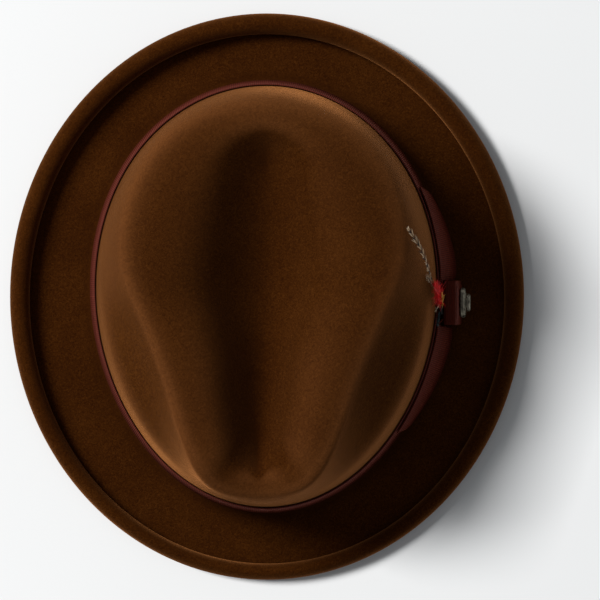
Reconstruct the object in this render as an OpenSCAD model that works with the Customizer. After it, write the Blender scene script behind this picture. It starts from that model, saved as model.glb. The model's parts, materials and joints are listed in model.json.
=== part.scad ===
// Fedora hat with a teardrop crown, a pencil-rolled brim, a ribbon band with a
// side bow, a tucked feather bunch and a round pin.
// Frame: +Z up, front of the hat towards -Y, the wearer's left towards +X.
// Origin: on the plane that the brim rests on, under the middle of the brim.

/* [Brim] */
// Half the brim's overall width
brim_half_w = 125; // [115:0.5:140]
// Half the brim's overall length
brim_half_l = 137.7; // [128:0.1:150]
// Width of the rolled edge at the sides and back
roll_w = 10.6; // [9:0.1:12]
// How much narrower the rolled edge is at the front
roll_front_drop = 2.4; // [0:0.1:3]
// Height of the rolled edge
roll_h = 12.4; // [10:0.1:14]
// How far round the felt curls, from straight down to the raw edge
roll_turn = 303; // [240:1:305]

/* [Crown] */
// Half the crown's width where it meets the brim
crown_half_w = 85.3; // [78:0.1:90]
// Half the crown's length where it meets the brim
crown_half_l = 104.5; // [98:0.1:110]
// How much fuller the head oval is at the back than at the front
egg = 0.045; // [0:0.005:0.08]
// Inward lean of the crown wall for each millimetre of height
lean = 0.115; // [0.05:0.005:0.16]
// Thickness of the felt
felt_t = 2; // [1.6:0.1:2.4]
// Height of the dent's floor at its lowest point
dent_floor = 77; // [74:1:86]
// How far the front of the crown is pinched towards the wearer's right
front_swing = 3; // [0:0.5:5]
// Half the length of the dent's floor line
dent_half_l = 62; // [50:1:68]

/* [Band and bow] */
// Height of the band's ribbon
band_h = 38; // [25:1:42]
// Thickness of the band's ribbon
band_t = 0.7; // [0.5:0.1:1]
// Gap between the band and the felt
band_gap = 0.5; // [0.4:0.1:0.8]
// Height of the band's lower edge above the brim's resting plane
band_z = 4.5; // [4.5:0.1:6]
// Width of the bow's knot along the band
knot_w = 21; // [16:0.5:24]
// Depth of the bow's knot, outwards from the feather slot
knot_d = 7.2; // [6.5:0.1:8]
// Distance of the knot's middle towards the front
knot_y = 3; // [0:0.5:10]
// Depth of the slot between the band and the knot, where the feathers are tucked
slot_d = 1.9; // [1.8:0.1:2.5]
// Length of the bow's rear loop beyond the knot, along its upper edge
rear_loop_l = 46; // [36:1:52]
// Length of the bow's front loop beyond the knot, along its upper edge
front_loop_l = 53; // [36:1:56]

/* [Feathers and pin] */
// Height of the barred feather's tip above the bow's knot, along the crown's wall
hackle_l = 65; // [62:1:72]
// Diameter of the pin's base plate
pin_d = 14.5; // [12:0.5:16]
// Diameter of the pin's raised centre
pin_boss_d = 8.4; // [7:0.1:10]
// Diameter of the pin's post
post_d = 1.1; // [1:0.05:1.4]

/* [Inside] */
// Height of the leather sweatband
sweat_h = 34; // [28:1:38]
// Thickness of the sweatband's leather
sweat_t = 0.9; // [0.7:0.1:1.2]
// Thickness of the lining's satin
lining_t = 0.5; // [0.4:0.1:0.8]

/* [Hidden] */

// Points round every ring of the hat, so that nested rings never cross
around = 96;
// Height at which the crown wall begins to turn out into the brim, and how far out it runs
break_z = 5.5;
break_run = 4;

// The rim of the crown's dent and the wall below it, from the back (0 degrees) to the front (180).
// Columns: angle, x, y, z, height of the wall's top, softness of the rim, depth of the pinch.
// A negative pinch is a full, rounded shoulder.
RIM = [
    [  0,  0,  86, 101, 60, 13, -5],
    [ 28, 33,  77, 101, 60, 13, -5],
    [ 50, 51,  60, 102, 60, 13, -5],
    [ 70, 61,  37, 103, 62, 11, -5],
    [ 86, 62,  13, 104, 68,  8, -2],
    [100, 54,  -9, 105, 76,  5,  3],
    [116, 44, -34, 106, 80,  5,  5],
    [134, 36, -60, 107, 80,  5,  5],
    [150, 28, -79, 107, 77,  5,  3],
    [164, 18, -88, 103, 70,  6,  0],
    [180,  0, -90, 100, 64,  9, -4]
];
LAST = len(RIM) - 1;
function mirrored(row, t) = [2 * t - row[0], -row[1], row[2], row[3], row[4], row[5], row[6]];
RIM_ROUND = concat([mirrored(RIM[1], 0)], RIM, [mirrored(RIM[LAST - 1], 180)]);

// ---- curves ----
function slope(rows, k) = (rows[k + 1] - rows[k - 1]) / (rows[k + 1][0] - rows[k - 1][0]);
function span_of(rows, t, k = 1) = t <= rows[k + 1][0] || k >= len(rows) - 3 ? k : span_of(rows, t, k + 1);
// Smooth curve through the rows of a table, read at angle t
function smooth_row(rows, t) =
    let (k = span_of(rows, t), w = rows[k + 1][0] - rows[k][0], u = (t - rows[k][0]) / w)
    rows[k] * (1 + 2 * u) * (1 - u) * (1 - u) + slope(rows, k) * w * u * (1 - u) * (1 - u)
    + rows[k + 1] * u * u * (3 - 2 * u) - slope(rows, k + 1) * w * u * u * (1 - u);
// Point at u along the curve that a list of control points pulls
function bezier(p, u) = len(p) == 1 ? p[0]
    : bezier([for (i = [0:len(p) - 2]) p[i] * (1 - u) + p[i + 1] * u], u);
function unit(v) = v / norm(v);
function mix(a, b, u) = a * (1 - u) + b * u;

// ---- the head oval and the crown ----
// Point of the head oval at angle t, pushed out by off, at height z
function oval(t, off, z) = [(crown_half_w + off - lean * z) * sin(t) * (1 + egg * cos(t)),
                            (crown_half_l + off - lean * z) * cos(t), z];
// Everything about the crown at angle t, with its left side mirrored from its right
function rim_at(t) = smooth_row(RIM_ROUND, t > 180 ? 360 - t : t);
// The front of the crown is pinched a little towards the wearer's right
function swing(t) = -front_swing * pow((1 - cos(t)) / 2, 2);
// Each skin inside the outer face is lowered a little more than its depth, for the slopes of the crown
sink = 1.2;
function rim_point(t, d) =
    let (r = rim_at(t)) [(t > 180 ? -r[1] : r[1]) + swing(t), r[2], r[3] - sink * d];
function wall_top(t, d) = oval(t, -d, rim_at(t)[4] - d / 2);
// Outward fall of the felt where it passes over the rim
rim_fall = 0.3;
// Lowest line of the dent: it lies along the middle of the crown and rises to both ends
floor_mid = 5;
floor_back = 87;
floor_front = 89;
function floor_rise(t) = (cos(t) > 0 ? floor_back : floor_front) - dent_floor;
// Place along the floor line for angle t, from 1 at the back to -1 at the front
function along(t) = mix(cos(t), 1 - min(t, 360 - t) / 90, 0.3 - 0.3 * cos(t));
function floor_point(t, d) =
    [swing(t), dent_half_l * along(t) - floor_mid,
     dent_floor + floor_rise(t) * along(t) * along(t) - sink * d];
// Dent, from the floor line (u = 0) to its rim (u = 1), at depth d inside the felt's outer face
function dent(t, d, u) =
    let (v = floor_point(t, d), c = rim_point(t, d), out = unit([c[0] - v[0], c[1] - v[1], 0]),
         run = norm([c[0] - v[0], c[1] - v[1]]), climb = 2 * floor_rise(t) * along(t) / dent_half_l,
         soft = rim_at(t)[5], end = pow(along(t), 4))
    bezier([v, v + (out + [0, 0, out[1] * climb]) * 0.3 * run,
            c - out * (0.65 - 0.25 * end) * run + [0, 0, 1 - 4 * end],
            c - out * (0.5 - 0.1 * end) * run + [0, 0, 3 - 3 * end],
            c - (out - [0, 0, rim_fall]) * min(soft, 0.3 * run), c], u);
// Shoulder or pinch, from the rim of the dent (u = 0) to the top of the wall (u = 1)
function shoulder(t, d, u) =
    let (r = rim_at(t), c = rim_point(t, d), w = wall_top(t, d),
         out = unit([w[0] - c[0], w[1] - c[1], 0]), up = unit(oval(t, -d, 60) - oval(t, -d, 50)),
         push = (out + [0, 0, 1]) * -0.7 * r[6])
    bezier([c, c + (out - [0, 0, rim_fall]) * 0.6 * r[5], mix(c, w, 0.5) + push,
            w + up * (9 - 0.4 * r[6]), w], u);

// ---- the brim ----
function roll_width(t) = roll_w - roll_front_drop * pow((1 - cos(t)) / 2, 2);
function edge_out(t) = unit([brim_half_l * sin(t), brim_half_w * cos(t), 0]);
function edge(t) = [brim_half_w * sin(t), brim_half_l * cos(t), 0];
// Rolled edge at depth d inside the felt, a degrees round from straight down
function roll(t, d, a) = edge(t) + edge_out(t) * ((sin(a) - 1) * roll_width(t) / 2 - d * sin(a))
    + [0, 0, roll_h / 2 - (roll_h / 2 - d) * cos(a)];
function flange(t, d, z, u) = mix(oval(t, break_run - d, 0) + [0, 0, z], roll(t, z, 0), u);
function brim_break(t, d, z, u) = bezier([oval(t, -d, break_z), oval(t, -d, 0) + [0, 0, z],
                                          flange(t, d, z, 0)], u);

// ---- skins over rings of points ----
function angle(i) = i * 360 / around;
function ring(point) = [for (i = [0:around - 1]) point(angle(i))];
function wrap_strip(a, b, n) = [for (i = [0:n - 1]) each [[a + i, a + (i + 1) % n, b + (i + 1) % n],
                                                          [a + i, b + (i + 1) % n, b + i]]];
// Solid whose section is a closed loop: the last ring joins the first
module hoop(rings) {
    n = len(rings[0]);
    m = len(rings);
    polyhedron([for (r = rings) each r],
               [for (k = [0:m - 1]) each wrap_strip(k * n, ((k + 1) % m) * n, n)]);
}
// Solid swept through its rings, closed by a flat cap at both ends
module sweep(rings) {
    n = len(rings[0]);
    m = len(rings);
    polyhedron([for (r = rings) each r],
               concat([[for (i = [n - 1:-1:0]) i]],
                      [for (k = [0:m - 2]) each wrap_strip(k * n, (k + 1) * n, n)],
                      [[for (i = [0:n - 1]) (m - 1) * n + i]]));
}
// Shell that closes along a line at both ends, as the crown's skins do along the dent's floor:
// the points on that line serve both sides
module shell(first, rings, last) {
    n = around;
    h = n / 2;
    m = len(rings);
    start = h + 1;
    function near(i) = let (j = i % n) min(j, n - j);
    function zip(line, a, flip) = [for (i = [0:n - 1])
        let (p = line + near(i), q = line + near(i + 1), s = a + (i + 1) % n, r = a + i)
        each flip ? [[r, s, q], [r, q, p]] : [[p, q, s], [p, s, r]]];
    polyhedron(concat(first, [for (r = rings) each r], last),
               concat(zip(0, start, false),
                      [for (k = [0:m - 2]) each wrap_strip(start + k * n, start + (k + 1) * n, n)],
                      zip(start + m * n, start + (m - 1) * n, true)));
}
function floor_line(d) = [for (i = [0:around / 2]) floor_point(angle(i), d)];
function steps(n, from = 1) = [for (k = [from:n]) k / n];

// ---- felt ----
// Crown and brim are one piece of felt, blocked to shape
module felt_body() {
    color([0.42, 0.24, 0.10])
        shell(floor_line(0),
              concat([for (u = steps(7)) ring(function (t) dent(t, 0, u))],
                     [for (u = steps(8)) ring(function (t) shoulder(t, 0, u))],
                     [ring(function (t) oval(t, 0, 36))],
                     [for (u = steps(3, 0)) ring(function (t) brim_break(t, 0, felt_t, u))],
                     [for (u = [0.4, 0.8]) ring(function (t) flange(t, 0, felt_t, u))],
                     [for (u = steps(8, 0)) ring(function (t) roll(t, felt_t, u * roll_turn))],
                     [for (u = steps(10, 0)) ring(function (t) roll(t, 0, (1 - u) * roll_turn))],
                     [for (u = [0.8, 0.4]) ring(function (t) flange(t, felt_t, 0, u))],
                     [for (u = steps(3, 0)) ring(function (t) brim_break(t, felt_t, 0, 1 - u))],
                     [ring(function (t) oval(t, -felt_t, 36))],
                     [for (u = steps(6, 0)) ring(function (t) shoulder(t, felt_t, 1 - u))],
                     [for (u = steps(5)) if (u < 1) ring(function (t) dent(t, felt_t, 1 - u))]),
              floor_line(felt_t));
}

// ---- band ----
band_top = band_z + band_h;
module wall_hoop(inner, thick, z0, z1) {
    hoop([for (p = [[inner, z0], [inner, z1], [inner + thick, z1], [inner + thick, z0]])
          ring(function (t) oval(t, p[0], p[1]))]);
}
module hat_band() {
    color([0.36, 0.14, 0.12]) wall_hoop(band_gap, band_t, band_z, band_top);
}

// ---- bow ----
band_face = band_gap + band_t;
lean_angle = atan(lean);
// Angle on the head oval that lies a distance y towards the back
function angle_at(y) = acos(y / crown_half_l);
// Local frame of the knot: origin on the band's face, X outwards, Z up along the crown wall
module on_band() {
    translate([crown_half_w + band_face - lean * band_z, -knot_y, band_z])
        rotate([0, -lean_angle, 0]) children();
}
// A loop stands further out at its lower edge than at its upper one, and its end is cut on a slant
loop_gap = 0.4;
loop_top_d = 1.2;
loop_top_end_d = 1.4;
loop_bottom_d = 7.4;
loop_bottom_end_d = 2.6;
loop_slant = 6;
// Gap between a loop's inner end and the knot
knot_gap = 0.3;
// One section of a loop: s is 0 in the knot and 1 at the outer end, dir is 1 for the rear loop
function loop_point(s, dir, len_top, off, h) =
    let (reach = mix(knot_gap, len_top - loop_slant * (1 - h), s),
         y = -knot_y + dir * (knot_w / 2 + reach))
    oval(angle_at(y), band_face + off, band_z + 1 + h * (band_h - 2));
function loop_section(s, dir, len_top) =
    let (low = mix(loop_bottom_d, loop_bottom_end_d, pow(s, 1.4)) * (1 - 0.22 * pow(1 - s, 6)),
         high = mix(loop_top_d, loop_top_end_d, s * s),
         pts = [[loop_gap, 0], [low * 0.9, 0], [low, 0.12], [mix(low, high, 0.5) + 0.5, 0.5],
                [high, 0.92], [high * 0.9, 1], [loop_gap, 1]])
    [for (p = dir > 0 ? pts : [for (k = [len(pts) - 1:-1:0]) pts[k]])
        loop_point(s, dir, len_top, p[0], p[1])];
module bow_loop(dir, len_top) {
    color([0.33, 0.13, 0.11])
        sweep([for (s = steps(12, 0)) loop_section(s, dir, len_top)]);
}
module bow_rear_loop() { bow_loop(1, rear_loop_l); }
module bow_front_loop() { bow_loop(-1, front_loop_l); }

// Room round the pin's post in the ribbon and in the clutch
post_play = 0.1;
knot_t = 0.9;
knot_r = 2.2;
pin_z = 20;
module rounded_slab(d, h, r) {
    hull() for (x = [r, d - r], z = [r, h - r]) translate([x, z]) circle(r, $fn = 32);
}
// The knot is a sleeve of ribbon, wrapped round the inner ends of both loops
module bow_knot() {
    color([0.31, 0.11, 0.09]) on_band() difference() {
        translate([slot_d, knot_w / 2, 0]) rotate([90, 0, 0]) linear_extrude(knot_w) difference() {
            rounded_slab(knot_d, band_h, knot_r);
            translate([knot_t, knot_t])
                rounded_slab(knot_d - 2 * knot_t, band_h - 2 * knot_t, knot_r - knot_t);
        }
        translate([slot_d + knot_d / 2, 0, pin_z]) rotate([0, 90, 0])
            cylinder(d = post_d + post_play, h = knot_d, $fn = 48);
    }
}

// ---- feathers ----
// Local frame of the feather bunch: origin at the top of the slot, X outwards, Z up along the wall
module in_slot() {
    on_band() translate([slot_d / 2, 0, band_h]) children();
}
tab_t = 1;
tab_w = 11;
tab_h = 19;
// Flat tab that holds the quills, tucked behind the knot
module feather_tab() {
    color([0.10, 0.08, 0.07]) in_slot()
        translate([-tab_t / 2, -tab_w / 2, 1 - tab_h]) cube([tab_t, tab_w, tab_h]);
}
// A feather is a thin blade along a bending quill. The quill follows its control points, the vane
// starts a share bare of the way up it, half_w is the vane's half width and side is the way it spreads.
module feather(path, side, bare, half_w, thick, tint) {
    n = 10;
    color(tint) in_slot() sweep([for (u = steps(n, 0))
        let (p = bezier(path, u), ahead = bezier(path, min(1, u + 0.02)) - bezier(path, max(0, u - 0.02)),
             face = unit(cross(ahead, side)), v = max(0, (u - bare) / (1 - bare)),
             w = max(0.35, half_w * sin(180 * pow(0.04 + 0.92 * v, 0.8))), t = thick / 2)
        [p + side * w, p + face * t, p - side * w, p - face * t]]);
}
// Barred feather that lies along the crown's shoulder
module feather_hackle() {
    feather([[-0.4, 2.2, 1.7], [-0.8, 4, 26], [-0.8, 8, 44], [-1.5, 21, 56], [-5.2, 26, 66],
             [-10.5, 34, hackle_l]],
            unit([0.1, 0.8, -0.6]), 0.45, 2.6, 0.7, [0.72, 0.66, 0.58]);
}
module feather_side() {
    feather([[-0.4, 4.6, 1.7], [-0.9, 5.5, 20], [-2.2, 10.5, 34], [-3.6, 12, 44]],
            unit([0, 0.9, -0.4]), 0.5, 1.2, 0.5, [0.62, 0.56, 0.48]);
}
module feather_red() {
    feather([[0.4, 0.4, 1.7], [0.6, 1, 14], [0.7, 4, 26], [-0.2, 7, 38]],
            unit([0, 0.9, -0.4]), 0.35, 3, 0.9, [0.75, 0.05, 0.05]);
}
module feather_gold() {
    feather([[0.3, -1.6, 1.7], [1.6, -1, 8], [2, 1, 14], [1.9, 4.5, 20]],
            unit([0, 1, -0.3]), 0.3, 1.5, 0.6, [0.80, 0.58, 0.15]);
}
module feather_dark() {
    feather([[0, -3.4, 1.7], [-0.4, -4.9, 4], [-0.6, -7.5, 6], [-1, -10.5, 7]],
            unit([0, 0.6, 0.8]), 0.2, 2, 0.6, [0.05, 0.10, 0.11]);
}

// ---- pin ----
module on_knot() {
    on_band() translate([slot_d + knot_d, 0, pin_z]) rotate([0, 90, 0]) children();
}
plate_gap = 0.15;
plate_t = 1.5;
boss_neck_h = 1.2;
boss_t = 1.7;
clutch_t = 2.6;
clutch_d = 6;
clutch_neck_d = 3.4;
// Round base plate with a raised rim
module pin_plate() {
    color([0.62, 0.58, 0.50]) on_knot() translate([0, 0, plate_gap]) rotate_extrude($fn = 96) polygon([
        [post_d / 2, 0], [pin_d / 2 - 0.5, 0], [pin_d / 2, 0.5], [pin_d / 2, plate_t + 0.3],
        [pin_d / 2 - 0.5, plate_t + 0.8], [pin_d / 2 - 1.2, plate_t + 0.3], [pin_d / 2 - 2, plate_t - 0.2],
        [pin_boss_d / 2, plate_t + 0.3], [post_d / 2, plate_t + 0.3]]);
}
// Plain stepped centre that stands on the plate
module pin_boss() {
    color([0.50, 0.48, 0.44]) on_knot() translate([0, 0, plate_gap + plate_t + 0.3])
        rotate_extrude($fn = 96) polygon([
            [0, 0], [pin_boss_d * 0.3, 0], [pin_boss_d * 0.3, boss_neck_h],
            [pin_boss_d / 2, boss_neck_h + 0.3],
            [pin_boss_d / 2, boss_neck_h + boss_t - 0.5], [pin_boss_d / 2 - 0.6, boss_neck_h + boss_t],
            [0, boss_neck_h + boss_t + 0.3]]);
}
// The post goes through the knot's ribbon into the clutch
post_reach = knot_t + 0.5 + clutch_t - 0.4;
module pin_post() {
    color([0.66, 0.64, 0.60]) on_knot() translate([0, 0, -post_reach])
        cylinder(d = post_d, h = post_reach + plate_gap + plate_t + 0.3, $fn = 48);
}
module pin_clutch() {
    color([0.72, 0.62, 0.35]) on_knot() translate([0, 0, -knot_t - 0.3 - clutch_t]) difference() {
        union() {
            cylinder(d = clutch_d, h = clutch_t * 0.55, $fn = 64);
            cylinder(d = clutch_neck_d, h = clutch_t, $fn = 64);
        }
        translate([0, 0, -1]) cylinder(d = post_d + post_play, h = clutch_t + 2, $fn = 48);
    }
}

// ---- inside ----
inner_gap = 0.4;
sweat_in = felt_t + inner_gap + sweat_t;
sweat_z = 3;
module sweatband() {
    color([0.16, 0.10, 0.07]) wall_hoop(-sweat_in, sweat_t, sweat_z, sweat_z + sweat_h);
}
// Stiffening cord in its tape, along the sweatband's lower edge
reed_r = 0.9;
reed_z = 1.75;
module sweatband_reed() {
    color([0.12, 0.08, 0.06]) hoop([for (k = [0:5])
        ring(function (t) oval(t, reed_r * cos(60 * k) - felt_t - inner_gap - reed_r,
                               reed_z + reed_r * sin(60 * k)))]);
}
// Small ribbon bow where the sweatband's ends meet, at the back of the head
tie_half_l = 9;
tie_half_h = 4;
tie_notch = 1.4;
tie_waist = [1.6, 1.8];
tie_t = 1.2;
// Height of the middle of the small bow and of the label
trim_z = 20;
module sweatband_bow() {
    half = [[tie_waist[0], tie_waist[1]], [tie_half_l, tie_half_h], [tie_half_l - tie_notch, 0],
            [tie_half_l, -tie_half_h], [tie_waist[0], -tie_waist[1]]];
    color([0.14, 0.09, 0.07])
        translate([0, crown_half_l - sweat_in - lean * trim_z - tie_t - 0.1, trim_z])
            rotate([90 - lean_angle, 0, 0]) linear_extrude(tie_t)
                polygon(concat(half, [for (p = half) -p]));
}
lining_in = felt_t + 0.8;
lining_low = sweat_z + sweat_h + 1;
// Side piece of the lining, from the sweatband up to the piped seam
module lining_wall() {
    color([0.20, 0.09, 0.08]) hoop([for (p = [[0, 0], [0, 1], [lining_t, 1], [lining_t, 0]])
        ring(function (t) let (top = wall_top(t, 0)[2] - 9)
            oval(t, -lining_in - p[0], mix(lining_low, top, p[1])))]);
}
// Tip of the lining, which hangs under the crown and follows its shape
tip_in = felt_t + 2.5;
module lining_tip() {
    color([0.22, 0.10, 0.09])
        shell(floor_line(tip_in),
              concat([for (u = steps(4)) ring(function (t) dent(t, tip_in, u))],
                     [for (u = steps(5)) ring(function (t) shoulder(t, tip_in, u))],
                     [for (u = steps(5, 0)) ring(function (t) shoulder(t, tip_in + lining_t, 1 - u))],
                     [for (u = [0.75, 0.5, 0.25]) ring(function (t) dent(t, tip_in + lining_t, u))]),
              floor_line(tip_in + lining_t));
}
// Piped seam between the lining's side and its tip
pipe_r = 0.8;
module lining_piping() {
    color([0.30, 0.13, 0.11]) hoop([for (k = [0:5])
        ring(function (t) oval(t, pipe_r * cos(60 * k) - lining_in - pipe_r,
                               wall_top(t, 0)[2] - 6 + pipe_r * sin(60 * k)))]);
}
// Blank woven label on the sweatband, at the side of the head
label_size = [0.4, 14, 10];
module size_label() {
    color([0.75, 0.70, 0.60])
        translate([-(crown_half_w - sweat_in - lean * trim_z - 0.6), 0, trim_z]) rotate([0, lean_angle, 0])
            translate([0, -label_size[1] / 2, -label_size[2] / 2]) cube(label_size);
}

felt_body();
hat_band();
bow_rear_loop();
bow_front_loop();
bow_knot();
feather_tab();
feather_hackle();
feather_side();
feather_red();
feather_gold();
feather_dark();
pin_plate();
pin_boss();
pin_post();
pin_clutch();
sweatband();
sweatband_reed();
sweatband_bow();
lining_wall();
lining_tip();
lining_piping();
size_label();
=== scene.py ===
"""Felt fedora with a ribbon band, side bow, feather bunch and pin, seen from straight above."""
import json
import logging
import math
import random
from dataclasses import dataclass, field
from enum import Enum

import bpy
import numpy as np
from mathutils import Matrix, Vector


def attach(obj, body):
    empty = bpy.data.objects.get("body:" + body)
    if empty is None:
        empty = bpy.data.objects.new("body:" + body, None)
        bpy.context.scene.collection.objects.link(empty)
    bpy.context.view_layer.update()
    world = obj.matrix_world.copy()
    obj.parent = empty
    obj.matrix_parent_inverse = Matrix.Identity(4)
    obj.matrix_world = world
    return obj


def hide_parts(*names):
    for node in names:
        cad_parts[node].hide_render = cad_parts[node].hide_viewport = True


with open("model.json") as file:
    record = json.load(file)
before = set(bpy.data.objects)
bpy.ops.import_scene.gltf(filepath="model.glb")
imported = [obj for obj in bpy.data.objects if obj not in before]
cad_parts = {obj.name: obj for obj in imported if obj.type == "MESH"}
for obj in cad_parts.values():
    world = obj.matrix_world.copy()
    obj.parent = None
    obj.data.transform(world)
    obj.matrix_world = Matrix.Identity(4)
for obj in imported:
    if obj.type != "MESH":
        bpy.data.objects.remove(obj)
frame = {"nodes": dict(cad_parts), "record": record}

LOG = logging.getLogger("fedora")
MM = 0.001


# ---------------------------------------------------------------- mesh helpers

def only(obj: bpy.types.Object) -> bpy.types.Object:
    """Selects obj alone and makes it the active object.

    Args:
        obj: the object that the next operators act on.

    Returns:
        The same object.
    """
    if bpy.context.object and bpy.context.object.mode != "OBJECT":
        bpy.ops.object.mode_set(mode="OBJECT")
    bpy.ops.object.select_all(action="DESELECT")
    obj.select_set(True)
    bpy.context.view_layer.objects.active = obj
    return obj


def node_copy(node: str, name: str, quads: bool = True) -> bpy.types.Object:
    """Copies a CAD node's mesh into a new, merged piece that can be modelled further.

    Args:
        node: the CAD node's name.
        name: the new piece's name.
        quads: whether to join the triangles into four-sided faces.

    Returns:
        The new object, at the origin, with no material.
    """
    source = frame["nodes"][node]
    obj = bpy.data.objects.new(name, source.data.copy())
    bpy.context.scene.collection.objects.link(obj)
    obj.data.materials.clear()
    only(obj)
    bpy.ops.object.mode_set(mode="EDIT")
    bpy.ops.mesh.select_all(action="SELECT")
    bpy.ops.mesh.remove_doubles(threshold=0.000002)
    if quads:
        bpy.ops.mesh.tris_convert_to_quads(face_threshold=math.radians(90), shape_threshold=math.radians(90),
                                           topology_influence=1.5)
    bpy.ops.object.mode_set(mode="OBJECT")
    return obj


def make_piece(name: str, verts: list[Vector], faces: list[tuple[int, ...]],
               marks: list[tuple[float, float]] | None = None) -> bpy.types.Object:
    """Makes a piece from gathered points and faces, with its faces turned outwards.

    Args:
        name: the new piece's name.
        verts: its points, in metres.
        faces: the points of each face.
        marks: the value of a UV map called "vane" at each point, if it has one.

    Returns:
        The new object, at the origin, with no material.
    """
    mesh = bpy.data.meshes.new(name)
    mesh.from_pydata([tuple(v) for v in verts], [], faces)
    if marks:
        layer = mesh.uv_layers.new(name="vane")
        for loop in mesh.loops:
            layer.data[loop.index].uv = marks[loop.vertex_index]
    obj = bpy.data.objects.new(name, mesh)
    bpy.context.scene.collection.objects.link(obj)
    only(obj)
    bpy.ops.object.mode_set(mode="EDIT")
    bpy.ops.mesh.select_all(action="SELECT")
    bpy.ops.mesh.normals_make_consistent(inside=False)
    bpy.ops.object.mode_set(mode="OBJECT")
    return obj


def add_modifier(obj: bpy.types.Object, kind: str, **values: object) -> None:
    """Adds a modifier with the given values and applies it at once.

    Args:
        obj: the piece.
        kind: Blender's name for the modifier's type.
        values: the modifier's own settings.
    """
    only(obj)
    mod = obj.modifiers.new(kind.lower(), kind)
    for key, value in values.items():
        setattr(mod, key, value)
    bpy.ops.object.modifier_apply(modifier=mod.name)


def subdivide_smooth(obj: bpy.types.Object, levels: int) -> None:
    """Rounds a piece with an applied subdivision surface."""
    add_modifier(obj, "SUBSURF", levels=levels, render_levels=levels)


def shade_smooth(obj: bpy.types.Object, angle: float = 180.0) -> None:
    """Shades a piece smooth, keeping edges sharper than angle degrees."""
    only(obj)
    if angle >= 180.0:
        bpy.ops.object.shade_smooth()
    else:
        bpy.ops.object.shade_smooth_by_angle(angle=math.radians(angle))


# ---------------------------------------------------------------- node helpers

class Shader:
    """A small builder round one material's node tree."""

    def __init__(self, name: str) -> None:
        """Starts an empty material called name with a Principled shader."""
        self.material = bpy.data.materials.new(name)
        self.material.use_nodes = True
        self.tree = self.material.node_tree
        self.tree.nodes.clear()
        self.out = self.tree.nodes.new("ShaderNodeOutputMaterial")
        self.bsdf = self.tree.nodes.new("ShaderNodeBsdfPrincipled")
        self.tree.links.new(self.bsdf.outputs["BSDF"], self.out.inputs["Surface"])
        self.coords = self.tree.nodes.new("ShaderNodeTexCoord")

    def add(self, kind: str, **values: object) -> bpy.types.Node:
        """Adds a node of a kind, such as ShaderNodeMath, with the given settings."""
        node = self.tree.nodes.new(kind)
        for key, value in values.items():
            setattr(node, key, value)
        return node

    def link(self, start: bpy.types.NodeSocket, end: bpy.types.NodeSocket) -> None:
        """Joins two sockets."""
        self.tree.links.new(start, end)

    def feed(self, node: bpy.types.Node, name: object, value: object) -> None:
        """Sets an input from a number, a colour or another node's output."""
        if isinstance(value, bpy.types.NodeSocket):
            self.link(value, node.inputs[name])
        else:
            node.inputs[name].default_value = value

    def math(self, operation: str, a: object, b: object = 0.0) -> bpy.types.NodeSocket:
        """Combines two numbers or outputs with a Math node."""
        node = self.add("ShaderNodeMath", operation=operation)
        self.feed(node, 0, a)
        self.feed(node, 1, b)
        return node.outputs[0]

    def noise(self, vector: object, scale: float, detail: float = 2.0, distortion: float = 0.0,
              roughness: float = 0.5) -> bpy.types.NodeSocket:
        """The shared mottle at a scale per metre, from 0 to 1."""
        node = self.add("ShaderNodeGroup", node_tree=mottle_group())
        self.feed(node, "Vector", vector)
        for key, value in (("Scale", scale), ("Detail", detail), ("Distortion", distortion),
                           ("Roughness", roughness)):
            node.inputs[key].default_value = value
        return node.outputs["Fac"]

    def ramp(self, value: object,
             stops: list[tuple[float, tuple[float, float, float]]]) -> bpy.types.NodeSocket:
        """Turns a number into a colour through a ramp of (place, linear colour) stops."""
        node = self.add("ShaderNodeValToRGB")
        self.feed(node, "Fac", value)
        points = node.color_ramp.elements
        while len(points) < len(stops):
            points.new(0.5)
        for point, (place, colour) in zip(points, stops):
            point.position = place
            point.color = (*colour, 1.0)
        return node.outputs["Color"]

    def span(self, value: object, low: float, high: float, to_low: float = 0.0,
             to_high: float = 1.0) -> bpy.types.NodeSocket:
        """Maps a number from one range to another, held inside it."""
        node = self.add("ShaderNodeMapRange")
        self.feed(node, "Value", value)
        for key, number in (("From Min", low), ("From Max", high), ("To Min", to_low), ("To Max", to_high)):
            node.inputs[key].default_value = number
        return node.outputs["Result"]

    def mix(self, fac: object, a: object, b: object, blend: str = "MIX") -> bpy.types.NodeSocket:
        """Mixes two colours."""
        node = self.add("ShaderNodeMix", data_type="RGBA", blend_type=blend)
        for key, value in ((0, fac), (6, a), (7, b)):
            if isinstance(value, tuple) and len(value) == 3:
                value = (*value, 1.0)
            self.feed(node, key, value)
        return node.outputs[2]

    def bump(self, height: object, strength: float, distance: float) -> None:
        """Drives the shader's normal from a height."""
        node = self.add("ShaderNodeBump")
        node.inputs["Strength"].default_value = strength
        node.inputs["Distance"].default_value = distance
        self.feed(node, "Height", height)
        self.link(node.outputs["Normal"], self.bsdf.inputs["Normal"])

    def set(self, **values: object) -> None:
        """Sets constant sockets of the Principled shader; underscores stand for spaces."""
        for key, value in values.items():
            self.bsdf.inputs[key.replace("_", " ")].default_value = value


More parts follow.
